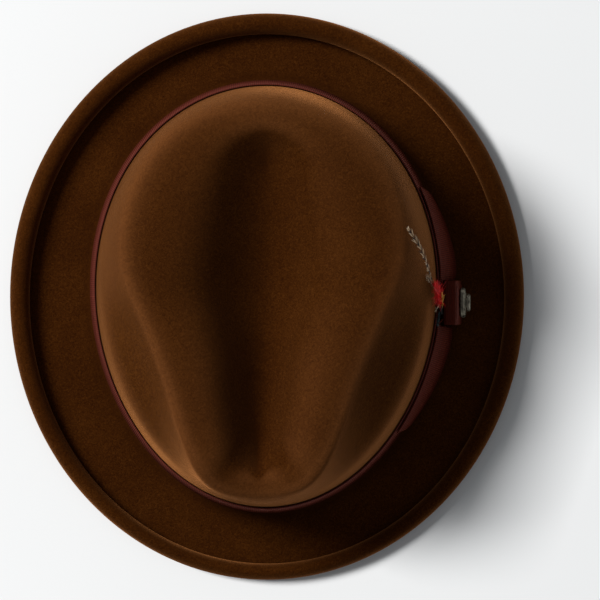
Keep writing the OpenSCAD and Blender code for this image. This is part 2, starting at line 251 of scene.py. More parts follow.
def mottle_group() -> bpy.types.ShaderNodeTree:
    """The shared unevenness of dyed and woven things, built once.

    Returns:
        A group that takes a place, a scale per metre, a detail, a distortion and a roughness, and
        puts out a value from 0 to 1.
    """
    name = "mottle"
    if name in bpy.data.node_groups:
        return bpy.data.node_groups[name]
    group = bpy.data.node_groups.new(name, "ShaderNodeTree")
    group.interface.new_socket(name="Vector", in_out="INPUT", socket_type="NodeSocketVector")
    for label in ("Scale", "Detail", "Roughness", "Distortion"):
        group.interface.new_socket(name=label, in_out="INPUT", socket_type="NodeSocketFloat")
    group.interface.new_socket(name="Fac", in_out="OUTPUT", socket_type="NodeSocketFloat")
    entry = group.nodes.new("NodeGroupInput")
    leave = group.nodes.new("NodeGroupOutput")
    noise = group.nodes.new("ShaderNodeTexNoise")
    for label in ("Vector", "Scale", "Detail", "Roughness", "Distortion"):
        group.links.new(entry.outputs[label], noise.inputs[label])
    group.links.new(noise.outputs["Fac"], leave.inputs["Fac"])
    return group


# ---------------------------------------------------------------- finishes

@dataclass(frozen=True)
class FeltFinish:
    """Brushed wool felt: a mat of short fibres with mottled dye."""

    dark: tuple[float, float, float] = (0.026, 0.0060, 0.0007)
    mid: tuple[float, float, float] = (0.048, 0.0128, 0.0015)
    light: tuple[float, float, float] = (0.088, 0.0270, 0.0042)
    # Rubbed nap with a painted highlight, for the crown's ridges and shoulders.
    worn_and_highlight: tuple[float, float, float] = (0.165, 0.0560, 0.0150)
    fibre: float = 1500.0
    clump: float = 420.0
    cloud: float = 28.0

    def make(self) -> bpy.types.Material:
        """Returns the material."""
        s = Shader("felt")
        where = s.coords.outputs["Object"]
        fibre = s.noise(where, self.fibre, 3.0, 1.2, 0.65)
        clump = s.noise(where, self.clump, 3.0, 2.5, 0.6)
        cloud = s.noise(where, self.cloud, 2.0)
        mixed = s.math("ADD", s.math("MULTIPLY", fibre, 0.55), s.math("MULTIPLY", clump, 0.45))
        mixed = s.math("ADD", mixed, s.math("MULTIPLY", s.math("SUBTRACT", cloud, 0.5), 0.18))
        colour = s.ramp(mixed, [(0.36, self.dark), (0.50, self.mid), (0.66, self.light)])
        bend = s.add("ShaderNodeAttribute", attribute_name="bend").outputs["Fac"]
        height = s.add("ShaderNodeSeparateXYZ")
        s.link(where, height.inputs[0])
        crown = s.span(height.outputs["Z"], 0.020, 0.050)
        # Rubbed nap and painted highlight: ridges and shoulders painted lighter, from 20 mm up.
        worn_and_highlit = s.math("MULTIPLY", s.span(bend, 0.51, 0.66), s.span(clump, 0.3, 0.7, 0.55, 1.0))
        worn_and_highlit = s.math("MULTIPLY", worn_and_highlit, crown)
        colour = s.mix(s.math("MULTIPLY", worn_and_highlit, 0.72), colour, self.worn_and_highlight)
        # Painted shade: hollows and folds painted darker, towards the dark colour, by up to half.
        colour = s.mix(s.span(bend, 0.47, 0.30, 0.0, 0.5), colour, self.dark)
        s.link(colour, s.bsdf.inputs["Base Color"])
        s.link(s.span(clump, 0.3, 0.7, 0.86, 1.0), s.bsdf.inputs["Roughness"])
        s.set(Specular_IOR_Level=0.02, Sheen_Weight=0.5, Sheen_Roughness=0.42,
              Sheen_Tint=(0.85, 0.33, 0.10, 1.0))
        s.bump(mixed, 0.55, 0.0006)
        return s.material


@dataclass(frozen=True)
class GrosgrainFinish:
    """Ribbon with fine ribs across its length, read from a UV map in metres."""

    name: str
    colour: tuple[float, float, float] = (0.160, 0.0310, 0.0185)
    # Painted shade in the grooves between the ribs, and the dark end of the random tone.
    deep: tuple[float, float, float] = (0.055, 0.0090, 0.0050)
    rib: float = 0.00095

    def make(self) -> bpy.types.Material:
        """Returns the material."""
        s = Shader(self.name)
        split = s.add("ShaderNodeSeparateXYZ")
        s.link(s.coords.outputs["UV"], split.inputs[0])
        along = s.math("MULTIPLY", split.outputs["X"], 2 * math.pi / self.rib)
        rib = s.math("ADD", s.math("MULTIPLY", s.math("SINE", along), 0.5), 0.5)
        across = s.math("MULTIPLY", split.outputs["Y"], 2 * math.pi / 0.00032)
        thread = s.math("ADD", s.math("MULTIPLY", s.math("SINE", across), 0.5), 0.5)
        wear = s.noise(s.coords.outputs["Object"], 160.0, 3.0)
        height = s.math("ADD", rib, s.math("MULTIPLY", thread, 0.18))
        # Painted shade: grooves between the ribs painted darker, mixed with random tone.
        tone = s.math("ADD", s.math("MULTIPLY", rib, 0.75), s.math("MULTIPLY", wear, 0.35))
        colour = s.ramp(tone, [(0.10, self.deep), (0.85, self.colour)])
        s.link(colour, s.bsdf.inputs["Base Color"])
        s.link(s.span(wear, 0.3, 0.7, 0.52, 0.68), s.bsdf.inputs["Roughness"])
        s.set(Specular_IOR_Level=0.08)
        s.bump(height, 0.6, 0.00022)
        return s.material


@dataclass(frozen=True)
class MetalFinish:
    """Cast metal, polished in some patches and dull in others, at random."""

    name: str
    bright: tuple[float, float, float] = (0.26, 0.235, 0.180)
    dull: tuple[float, float, float] = (0.060, 0.052, 0.038)
    roughness: float = 0.36

    def make(self) -> bpy.types.Material:
        """Returns the material."""
        s = Shader(self.name)
        where = s.coords.outputs["Object"]
        cloud = s.noise(where, 380.0, 4.0)
        grain = s.noise(where, 5200.0, 2.0)
        s.link(s.ramp(cloud, [(0.32, self.dull), (0.56, self.bright)]), s.bsdf.inputs["Base Color"])
        s.link(s.span(cloud, 0.3, 0.7, self.roughness + 0.2, self.roughness), s.bsdf.inputs["Roughness"])
        s.set(Metallic=1.0)
        s.bump(grain, 0.25, 0.00005)
        return s.material


@dataclass(frozen=True)
class SatinFinish:
    """Smooth lining satin with a soft sheen and a very fine twill."""

    name: str
    colour: tuple[float, float, float] = (0.055, 0.014, 0.011)

    def make(self) -> bpy.types.Material:
        """Returns the material."""
        s = Shader(self.name)
        where = s.coords.outputs["Object"]
        cloud = s.noise(where, 60.0, 2.0)
        weave = s.noise(where, 2600.0, 1.0)
        light = tuple(min(1.0, 1.5 * c) for c in self.colour)
        s.link(s.ramp(cloud, [(0.3, self.colour), (0.7, light)]), s.bsdf.inputs["Base Color"])
        s.link(s.span(weave, 0.2, 0.8, 0.28, 0.42), s.bsdf.inputs["Roughness"])
        s.set(Specular_IOR_Level=0.6, Sheen_Weight=0.2, Sheen_Roughness=0.3)
        s.bump(weave, 0.15, 0.0001)
        return s.material


@dataclass(frozen=True)
class LeatherFinish:
    """Thin smooth leather with fine pores and creases."""

    name: str
    colour: tuple[float, float, float] = (0.024, 0.011, 0.006)

    def make(self) -> bpy.types.Material:
        """Returns the material."""
        s = Shader(self.name)
        where = s.coords.outputs["Object"]
        cells = s.add("ShaderNodeTexVoronoi", feature="DISTANCE_TO_EDGE")
        s.link(where, cells.inputs["Vector"])
        cells.inputs["Scale"].default_value = 1100.0
        pores = s.span(cells.outputs["Distance"], 0.0, 0.14)
        cloud = s.noise(where, 90.0, 3.0)
        light = tuple(2.0 * c for c in self.colour)
        s.link(s.ramp(cloud, [(0.35, self.colour), (0.75, light)]), s.bsdf.inputs["Base Color"])
        s.link(s.span(cloud, 0.3, 0.7, 0.42, 0.6), s.bsdf.inputs["Roughness"])
        s.set(Specular_IOR_Level=0.45)
        s.bump(pores, 0.3, 0.00012)
        return s.material


@dataclass(frozen=True)
class PlainClothFinish:
    """Closely woven tape or label cloth."""

    name: str
    colour: tuple[float, float, float]

    def make(self) -> bpy.types.Material:
        """Returns the material."""
        s = Shader(self.name)
        where = s.coords.outputs["Object"]
        weave = s.noise(where, 2200.0, 2.0, 0.6)
        light = tuple(min(1.0, 1.35 * c) for c in self.colour)
        dark = tuple(0.6 * c for c in self.colour)
        s.link(s.ramp(weave, [(0.3, dark), (0.7, light)]), s.bsdf.inputs["Base Color"])
        s.set(Roughness=0.85, Specular_IOR_Level=0.2, Sheen_Weight=0.15)
        s.bump(weave, 0.4, 0.00015)
        return s.material


def paint(obj: bpy.types.Object, material: bpy.types.Material) -> None:
    """Gives a whole piece one material."""
    obj.data.materials.clear()
    obj.data.materials.append(material)


def settle(obj: bpy.types.Object, body: str, slot: str, material: bpy.types.Material, *nodes: str) -> None:
    """Finishes a piece: its material, the body that it rides on and what it stands for.

    Args:
        obj: the piece.
        body: the CAD body that it moves with.
        slot: the record's material slot; not used.
        material: its finish.
        nodes: the CAD nodes that it replaces.
    """
    paint(obj, material)
    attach(obj, body)
    if nodes:
        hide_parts(*nodes)
    LOG.info("%s: %d faces on %s", obj.name, len(obj.data.polygons), body)


# ---------------------------------------------------------------- felt body

def bend_attribute(obj: bpy.types.Object, reach: float, rounds: int) -> None:
    """Stores how much the surface bulges, so that a finish can paint rubbed nap and highlight on its ridges
    and paint shade into its folds.

    The value is 0.5 on flat felt, towards 1 on an outward ridge and towards 0 in a hollow.

    Args:
        obj: the piece, already subdivided.
        reach: the bulge, as a share of an edge's length, that counts as a full ridge.
        rounds: how many times the values are averaged with their neighbours.
    """
    mesh = obj.data
    count = len(mesh.vertices)
    places = np.empty(count * 3)
    normals = np.empty(count * 3)
    edges = np.empty(len(mesh.edges) * 2, dtype=np.int64)
    mesh.vertices.foreach_get("co", places)
    mesh.vertices.foreach_get("normal", normals)
    mesh.edges.foreach_get("vertices", edges)
    places, normals, edges = places.reshape(-1, 3), normals.reshape(-1, 3), edges.reshape(-1, 2)
    start, end = edges[:, 0], edges[:, 1]
    steps = places[end] - places[start]
    lengths = np.maximum((steps ** 2).sum(1), 1e-12)
    near = np.maximum(np.bincount(start, minlength=count) + np.bincount(end, minlength=count), 1)

    def spread(at_start: np.ndarray, at_end: np.ndarray) -> np.ndarray:
        """Mean over each point's edges of the values at its two kinds of end."""
        return (np.bincount(start, at_start, count) + np.bincount(end, at_end, count)) / near

    rise = spread((steps * normals[start]).sum(1) / lengths, -(steps * normals[end]).sum(1) / lengths)
    for _ in range(rounds):
        rise = 0.5 * rise + 0.5 * spread(rise[end], rise[start])
    layer = mesh.attributes.new("bend", "FLOAT", "POINT")
    layer.data.foreach_set("value", np.clip(0.5 - 0.5 * rise * reach, 0.0, 1.0).astype(np.float32))


@dataclass
class FeltBody:
    """Crown and brim, blocked from one piece of felt."""

    smoothing: int = 1
    finish: FeltFinish = field(default_factory=FeltFinish)

    def build(self) -> None:
        """Makes the felt piece, smoothed from the CAD shape."""
        obj = node_copy("felt_body", "felt_hat")
        subdivide_smooth(obj, self.smoothing)
        bend_attribute(obj, 0.012, 4)
        shade_smooth(obj)
        settle(obj, "hat", "felt", self.finish.make(), "felt_body")


# ---------------------------------------------------------------- places on the hat

@dataclass(frozen=True)
class LocalFrame:
    """A place on the hat with its own axes; distances along them are in millimetres."""

    origin: Vector
    out: Vector
    back: Vector
    up: Vector

    def at(self, out: float, back: float, up: float) -> Vector:
        """Point at these distances from the origin, in metres."""
        return self.origin + (self.out * out + self.back * back + self.up * up) * MM

    def turn(self, out: float, back: float, up: float) -> Vector:
        """Unit direction with these shares along the axes."""
        return (self.out * out + self.back * back + self.up * up).normalized()

    def moved(self, out: float, up: float) -> "LocalFrame":
        """The same axes at an origin further out and up."""
        return LocalFrame(self.at(out, 0.0, up), self.out, self.back, self.up)

    def read(self, point: Vector) -> Vector:
        """Millimetres along the axes to a point."""
        gap = (point - self.origin) / MM
        return Vector((gap.dot(self.out), gap.dot(self.back), gap.dot(self.up)))


def pin_place() -> LocalFrame:
    """The middle of the knot's outer face, where the pin turns."""
    joints = {joint["name"]: joint for joint in frame["record"]["behaviour"]["joints"]}
    out = Vector(joints["pin_turn"]["axis"])
    up = Vector(joints["feather_pull"]["axis"])
    return LocalFrame(Vector(joints["pin_turn"]["pos_m"]), out, up.cross(out), up)


class Side(Enum):
    """The two sides of the knot."""

    REAR = 1
    FRONT = -1


# ---------------------------------------------------------------- ribbon

class RibbonRuler:
    """Measures length round the band, so that every ribbon's ribs keep their pitch."""

    def __init__(self, hoop: bpy.types.Object) -> None:
        """Reads the lower edge of a hoop that circles the Z axis."""
        lowest = min(v.co.z for v in hoop.data.vertices)
        ring = sorted((math.atan2(v.co.y, v.co.x), v.co.copy()) for v in hoop.data.vertices
                      if v.co.z < lowest + 0.5 * MM)
        self.marks = [(ring[0][0], 0.0)]
        last = ring[0]
        for angle, place in ring[1:]:
            if angle - last[0] > math.radians(0.5):
                self.marks.append((angle, self.marks[-1][1] + (place - last[1]).to_2d().length))
                last = (angle, place)

    def length_at(self, angle: float) -> float:
        """Length round the ring at an angle, in metres."""
        for (a0, s0), (a1, s1) in zip(self.marks, self.marks[1:]):
            if angle <= a1:
                return s0 + (s1 - s0) * (angle - a0) / (a1 - a0)
        (a0, s0), (a1, s1) = self.marks[-2:]
        return s1 + (s1 - s0) * (angle - a1) / (a1 - a0)

    def lay(self, obj: bpy.types.Object) -> None:
        """Gives a piece a UV map in metres: u runs round the hat, v up it."""
        mesh = obj.data
        for old in list(mesh.uv_layers):
            mesh.uv_layers.remove(old)
        layer = mesh.uv_layers.new(name="ribbon")
        for face in mesh.polygons:
            centre = math.atan2(face.center.y, face.center.x)
            for loop in face.loop_indices:
                co = mesh.vertices[mesh.loops[loop].vertex_index].co
                angle = math.atan2(co.y, co.x)
                angle -= 2 * math.pi * round((angle - centre) / (2 * math.pi))
                layer.data[loop].uv = (self.length_at(angle), co.z)


@dataclass
class HatBand:
    """Grosgrain ribbon round the crown."""

    rounding: float = 0.18 * MM

    def build(self, ribbon: bpy.types.Material) -> RibbonRuler:
        """Makes the band with rounded selvages.

        Args:
            ribbon: its finish.

        Returns:
            The ruler that the bow's ribbons are measured with too.
        """
        obj = node_copy("hat_band", "ribbon_band")
        add_modifier(obj, "BEVEL", width=self.rounding, segments=2, limit_method="ANGLE",
                     angle_limit=math.radians(50))
        ruler = RibbonRuler(obj)
        ruler.lay(obj)
        shade_smooth(obj, 50.0)
        settle(obj, "hat", "band_ribbon", ribbon, "hat_band")
        return ruler


@dataclass
class BowLoop:
    """One loop of the bow: ribbon folded round at its outer end and gathered into the knot."""

    side: Side
    knot_half: float = 10.5
    thickness: float = 0.5 * MM
    rounding: int = 3
    tuck: float = 2.6 * MM
    pleat: float = 0.62 * MM
    pleat_pitch: float = 8.4
    pleat_reach: float = 9.0

    def build(self, ribbon: bpy.types.Material, ruler: RibbonRuler, knot: LocalFrame) -> None:
        """Makes the loop.

        Args:
            ribbon: its finish.
            ruler: the ruler of the band that it lies on.
            knot: the middle of the knot's outer face.
        """
        name = self.side.name.lower()
        obj = node_copy(f"bow_{name}_loop", f"ribbon_{name}_loop")
        self.open_up(obj, knot)
        self.tuck_in(obj, knot)
        add_modifier(obj, "SUBSURF", levels=2, render_levels=2, subdivision_type="SIMPLE")
        add_modifier(obj, "SMOOTH", factor=0.5, iterations=self.rounding)
        self.gather(obj, knot)
        add_modifier(obj, "SOLIDIFY", thickness=self.thickness, offset=-1.0)
        ruler.lay(obj)
        shade_smooth(obj, 60.0)
        settle(obj, "hat", "bow_ribbon", ribbon, f"bow_{name}_loop")

    def open_up(self, obj: bpy.types.Object, knot: LocalFrame) -> None:
        """Takes away the faces that close the loop above, below and towards the knot."""
        inner = min(abs(knot.read(v.co).y) for v in obj.data.vertices)
        only(obj)
        bpy.ops.object.mode_set(mode="EDIT")
        bpy.ops.mesh.select_mode(type="FACE")
        bpy.ops.object.mode_set(mode="OBJECT")
        for face in obj.data.polygons:
            lid = abs(face.normal.dot(knot.up)) > 0.8
            cap = abs(knot.read(face.center).y) < inner + 0.3
            face.select = lid or cap
        bpy.ops.object.mode_set(mode="EDIT")
        bpy.ops.mesh.delete(type="FACE")
        bpy.ops.object.mode_set(mode="OBJECT")

    def tuck_in(self, obj: bpy.types.Object, knot: LocalFrame) -> None:
        """Draws the loop's open end into the knot and narrows it there."""
        inner = min(abs(knot.read(v.co).y) for v in obj.data.vertices)
        only(obj)
        bpy.ops.object.mode_set(mode="EDIT")
        bpy.ops.mesh.select_mode(type="EDGE")
        bpy.ops.mesh.select_all(action="DESELECT")
        bpy.ops.object.mode_set(mode="OBJECT")
        for edge in obj.data.edges:
            ends = [abs(knot.read(obj.data.vertices[i].co).y) for i in edge.vertices]
            edge.select = max(ends) < inner + 0.2
        bpy.ops.object.mode_set(mode="EDIT")
        step = knot.back * (-self.side.value * self.tuck)
        bpy.ops.mesh.extrude_region_move(TRANSFORM_OT_translate={"value": tuple(step)})
        middle = knot.at(-3.6, self.side.value * self.knot_half, 0.0)
        bpy.ops.transform.resize(value=(0.55, 1.0, 0.96), center_override=tuple(middle))
        bpy.ops.object.mode_set(mode="OBJECT")

    def gather(self, obj: bpy.types.Object, knot: LocalFrame) -> None:
        """Presses pleats into the loop's outer layer, deepest beside the knot."""
        for vertex in obj.data.vertices:
            where = knot.read(vertex.co)
            away = self.side.value * where.y - self.knot_half
            facing = max(0.0, vertex.normal.dot(knot.out))
            wave = math.sin(2 * math.pi * (where.z / self.pleat_pitch + 0.03 * away)) - 0.6
            fade = math.exp(-max(0.0, away) / self.pleat_reach) * facing
            vertex.co += vertex.normal * (self.pleat * wave * fade)


@dataclass
class BowKnot:
    """The short ribbon wrapped round the middle of the bow, as a sleeve."""

    depth: float = 7.2
    height: float = 38.0
    width: float = 21.0
    corner: float = 2.2
    pin_up: float = 20.0
    wall: float = 0.8 * MM
    around: int = 132
    across: int = 20

    def build(self, ribbon: bpy.types.Material, knot: LocalFrame) -> None:
        """Makes the knot.

        Args:
            ribbon: its finish.
            knot: the middle of the pin on the knot's outer face.
        """
        bpy.ops.object.select_all(action="DESELECT")
        bpy.ops.mesh.primitive_grid_add(x_subdivisions=self.around, y_subdivisions=self.across, size=1.0)
        obj = bpy.context.object
        obj.name = "ribbon_knot"
        layer = obj.data.uv_layers.active
        layer.name = "ribbon"
        whole = 2 * (self.depth + self.height) - (8 - 2 * math.pi) * self.corner
        for vertex in obj.data.vertices:
            along, aside = vertex.co.x + 0.5, 2 * vertex.co.y
            out, up, lean_out, lean_up = self.outline(along * whole)
            sag = 0.28 * (math.sin(3.1 * math.pi * aside + 0.6) ** 2) + 0.55 * abs(aside) ** 5
            vertex.co = knot.at(out - self.depth - sag * lean_out, -0.5 * self.width * aside,
                                up - self.pin_up - sag * lean_up)
        for uv in layer.data:
            uv.uv = (uv.uv[0] * whole * MM, uv.uv[1] * self.width * MM)
        only(obj)
        bpy.ops.object.mode_set(mode="EDIT")
        bpy.ops.mesh.select_all(action="SELECT")
        bpy.ops.mesh.remove_doubles(threshold=0.00001)
        bpy.ops.object.mode_set(mode="OBJECT")
        face = max(obj.data.polygons, key=lambda f: knot.read(f.center).x)
        if face.normal.dot(knot.out) < 0:
            obj.data.flip_normals()
        add_modifier(obj, "SOLIDIFY", thickness=self.wall, offset=-1.0)
        shade_smooth(obj, 50.0)
        settle(obj, "hat", "bow_ribbon", ribbon, "bow_knot")

    def outline(self, length: float) -> tuple[float, float, float, float]:
        """Point of the sleeve's rounded outline and the way that it faces.

        Args:
            length: millimetres round the outline from the foot of its inner side.

        Returns:
            Distance out from the inner side, height over the foot, and the facing's two shares.
        """
        r, flat, tall = self.corner, self.depth - 2 * self.corner, self.height - 2 * self.corner
        arc = math.pi / 2 * r
        left = length
        start = (r, 0.0)
        for run, (dx, dz) in ((flat, (1, 0)), (tall, (0, 1)), (flat, (-1, 0)), (tall, (0, -1))):
            if left <= run:
                return start[0] + dx * left, start[1] + dz * left, dz, -dx
            left -= run
            corner = (start[0] + dx * run - dz * r, start[1] + dz * run + dx * r)
            if left <= arc:
                turn = left / r
                face = (dz * math.cos(turn) + dx * math.sin(turn), -dx * math.cos(turn) + dz * math.sin(turn))
                return corner[0] + face[0] * r, corner[1] + face[1] * r, *face
            left -= arc
            start = (corner[0] + dx * r, corner[1] + dz * r)
        return r, 0.0, 0.0, -1.0


# ---------------------------------------------------------------- feathers

def bezier(points: list[Vector], share: float) -> Vector:
    """Point at a share of the way along the curve that control points pull."""
    while len(points) > 1:
        points = [a.lerp(b, share) for a, b in zip(points, points[1:])]
    return points[0]


@dataclass(frozen=True)
class Feather:
    """A quill with hundreds of barbs.

    The path's points and all sizes are millimetres in the frame at the top of the slot. bare is the
    share of the quill below the vane, and wild is how far the barbs stray from a neat vane.
    """

    name: str
    node: str
    material_slot: str
    path: tuple[tuple[float, float, float], ...]
    spread: tuple[float, float, float]
    bare: float
    half_width: float
    barbs: int
    quill: float = 0.34
    wild: float = 0.15
    forward: float = 0.75
    blade: float = 0.17
    seed: int = 3
    joints: int = 28

    def build(self, finish: bpy.types.Material, slot: LocalFrame) -> None:
        """Makes the feather.

        Args:
            finish: its material, which reads the map "vane".
            slot: the frame at the top of the slot that the quill is tucked into.
        """
        path = [slot.at(*point) for point in self.path]
        spread = slot.turn(*self.spread)
        draw = random.Random(self.seed)
        verts: list[Vector] = []
        faces: list[tuple[int, ...]] = []
        marks: list[tuple[float, float]] = []
        rings = [(bezier(path, k / self.joints), self.quill * MM * (1.0 - 0.75 * k / self.joints),
                  k / self.joints, 0.0) for k in range(self.joints + 1)]
        self.rod(verts, faces, marks, rings, spread, 1.0)
        for k in range(self.barbs):
            share = self.bare + (1 - self.bare) * (k + 0.5) / self.barbs
            root = bezier(path, share)
            ahead = (bezier(path, min(1.0, share + 0.02)) - bezier(path, share - 0.02)).normalized()
            aside = (spread - ahead * spread.dot(ahead)).normalized()
            face = ahead.cross(aside)
            rise = (share - self.bare) / (1 - self.bare)
            swell = math.sin(math.pi * min(1.0, 0.10 + 0.86 * rise)) ** 0.6
            for way in (-1, 1):
                length = self.half_width * MM * swell * draw.uniform(1.0 - 1.6 * self.wild, 1.15)
                lift = draw.gauss(0.0, self.wild)
                lean = self.forward + draw.gauss(0.0, self.wild)
                heading = (aside * way + ahead * lean + face * lift).normalized()
                droop = ahead * (0.35 * length) - face * (0.12 * length * draw.random())
                line = []
                for step in range(4):
                    t = step / 4
                    line.append((root + heading * (length * 1.25 * t) + droop * (t * t),
                                 self.blade * MM * (1 - 0.55 * t), share, way * t))
                tip = root + heading * (length * 1.25) + droop
                self.rod(verts, faces, marks, line, ahead, 0.35, (tip, share, float(way)))
        obj = make_piece(self.name, verts, faces, marks)
        shade_smooth(obj, 70.0)
        settle(obj, "feather_bunch", self.material_slot, finish, *([self.node] if self.node else []))

    @staticmethod
    def rod(verts: list[Vector], faces: list[tuple[int, ...]], marks: list[tuple[float, float]],
            rings: list[tuple[Vector, float, float, float]], wide: Vector, flat: float,
            tip: tuple[Vector, float, float] | None = None) -> None:
        """Adds a closed tapering rod, four-sided, to the mesh that is being gathered.

        Args:
            verts: the mesh's points so far.
            faces: its faces so far.
            marks: the vane map's value at each point.
            rings: the rod's stations, as place, half width, and the two values of the map.
            wide: the way its wider side lies.
            flat: its thickness as a share of its width.
            tip: a last single point, as place and the two values of the map.
        """
        first = len(verts)
        for k, (place, radius, s, t) in enumerate(rings):
            after = rings[min(k + 1, len(rings) - 1)][0]
            before = rings[max(k - 1, 0)][0]
            ahead = (after - before).normalized()
            side = wide - ahead * wide.dot(ahead)
            side = side.normalized() if side.length > 1e-6 else ahead.orthogonal().normalized()
            depth = ahead.cross(side)
            for a, b in ((1, 0), (0, flat), (-1, 0), (0, -flat)):
                verts.append(place + side * (radius * a) + depth * (radius * b))
                marks.append((s, t))
        for k in range(len(rings) - 1):
            for i in range(4):
                j = (i + 1) % 4
                low = first + 4 * k
                faces.append((low + i, low + j, low + 4 + j, low + 4 + i))
        faces.append((first + 3, first + 2, first + 1, first))
        last = first + 4 * (len(rings) - 1)
        if tip is None:
            faces.append((last, last + 1, last + 2, last + 3))
            return
        verts.append(tip[0])
        marks.append(tip[1:])
        for i in range(4):
            faces.append((last + i, last + (i + 1) % 4, len(verts) - 1))


@dataclass(frozen=True)
class FeatherFinish:
    """Barbs that turn from one colour to another, with dark bars across the vane where bars is set."""

    name: str
    middle: tuple[float, float, float]
    edge: tuple[float, float, float]
    bar: tuple[float, float, float] = (0.02, 0.015, 0.012)
    bars: float = 0.0

    def make(self) -> bpy.types.Material:
        """Returns the material."""
        s = Shader(self.name)
        split = s.add("ShaderNodeSeparateXYZ")
        s.link(s.add("ShaderNodeUVMap", uv_map="vane").outputs["UV"], split.inputs[0])
        across = s.math("ABSOLUTE", split.outputs["Y"])
        fine = s.noise(s.coords.outputs["Object"], 3800.0, 2.0)
        tone = s.math("ADD", across, s.math("MULTIPLY", s.math("SUBTRACT", fine, 0.5), 0.5))
        colour = s.ramp(tone, [(0.08, self.middle), (0.75, self.edge)])
        if self.bars:
            run = s.math("ADD", s.math("MULTIPLY", split.outputs["X"], 2 * math.pi * self.bars),
                         s.math("MULTIPLY", across, 1.6))
            stripe = s.span(s.math("ADD", s.math("SINE", run), s.math("MULTIPLY", fine, 0.5)), 0.25, 0.75)
            colour = s.mix(stripe, colour, self.bar)
        s.link(colour, s.bsdf.inputs["Base Color"])
        s.link(s.span(fine, 0.3, 0.7, 0.45, 0.7), s.bsdf.inputs["Roughness"])
        s.set(Specular_IOR_Level=0.15)
        s.bump(fine, 0.2, 0.00005)
        return s.material


class FeatherBunch:
    """The feathers tucked behind the knot, with their tab."""

    SLOT_OUT = -8.15
    SLOT_UP = 18.0

    def build(self, knot: LocalFrame) -> None:
        """Makes the feathers; knot is the middle of the pin on the knot's outer face."""
        slot = knot.moved(self.SLOT_OUT, self.SLOT_UP)
        barred = FeatherFinish("barred_feather", (0.20, 0.090, 0.035), (0.95, 0.74, 0.48),
                               (0.030, 0.014, 0.008), 13.0).make()
        red = FeatherFinish("red_feather", (0.55, 0.001, 0.001), (0.86, 0.004, 0.003)).make()
        gold = FeatherFinish("gold_feather", (0.45, 0.20, 0.02), (0.85, 0.52, 0.10)).make()
        dark = FeatherFinish("dark_feather", (0.004, 0.012, 0.014), (0.012, 0.045, 0.050)).make()
        paint(frame["nodes"]["feather_tab"], PlainClothFinish("tab_card", (0.016, 0.010, 0.008)).make())
        for feather, finish in (
            (Feather("barred_hackle", "feather_hackle", "barred_feather",
                     ((-0.4, 2.2, 1.7), (-0.8, 4, 26), (-0.8, 8, 44), (-1.5, 21, 56), (-5.2, 26, 66),
                      (-10.5, 34, 65)),
                     (0.1, 0.8, -0.6), 0.42, 3.0, 64, wild=0.24, forward=1.5, seed=5), barred),
            (Feather("barred_side_feather", "feather_side", "barred_feather",
                     ((-0.4, 4.6, 1.7), (-0.9, 5.5, 20), (-2.2, 10.5, 34), (-3.6, 12, 44)),
                     (0.0, 0.9, -0.4), 0.45, 2.0, 50, wild=0.25, seed=6), barred),
            (Feather("red_tuft", "feather_red", "red_feather",
                     ((0.4, 0.4, 1.7), (0.6, 1, 14), (0.7, 4, 26), (-0.2, 7, 38)),
                     (0.0, 0.9, -0.4), 0.22, 5.6, 210, wild=0.34, blade=0.24, seed=7), red),
            (Feather("gold_hackle", "feather_gold", "gold_feather",
                     ((0.3, -1.6, 1.7), (1.6, -1, 8), (2, 1, 14), (1.9, 4.5, 20)),
                     (0.0, 1.0, -0.3), 0.2, 2.2, 60, wild=0.28, seed=8), gold),
            (Feather("dark_hackle", "feather_dark", "dark_feather",
                     ((0, -3.4, 1.7), (-0.4, -4.9, 4), (-0.6, -7.5, 6), (-1, -10.5, 7)),
                     (0.0, 0.6, 0.8), 0.15, 2.4, 50, wild=0.22, seed=9), dark),
            (Feather("pale_wisp", "", "barred_feather",
                     ((0.2, -1.0, 2.0), (0.6, -1.5, 12), (0.6, -1.0, 22), (-0.6, -4.0, 27)),
                     (0.3, 0.9, -0.3), 0.5, 1.6, 26, quill=0.2, wild=0.4, seed=10), barred),
        ):
            feather.build(finish, slot)


# ---------------------------------------------------------------- inside of the crown

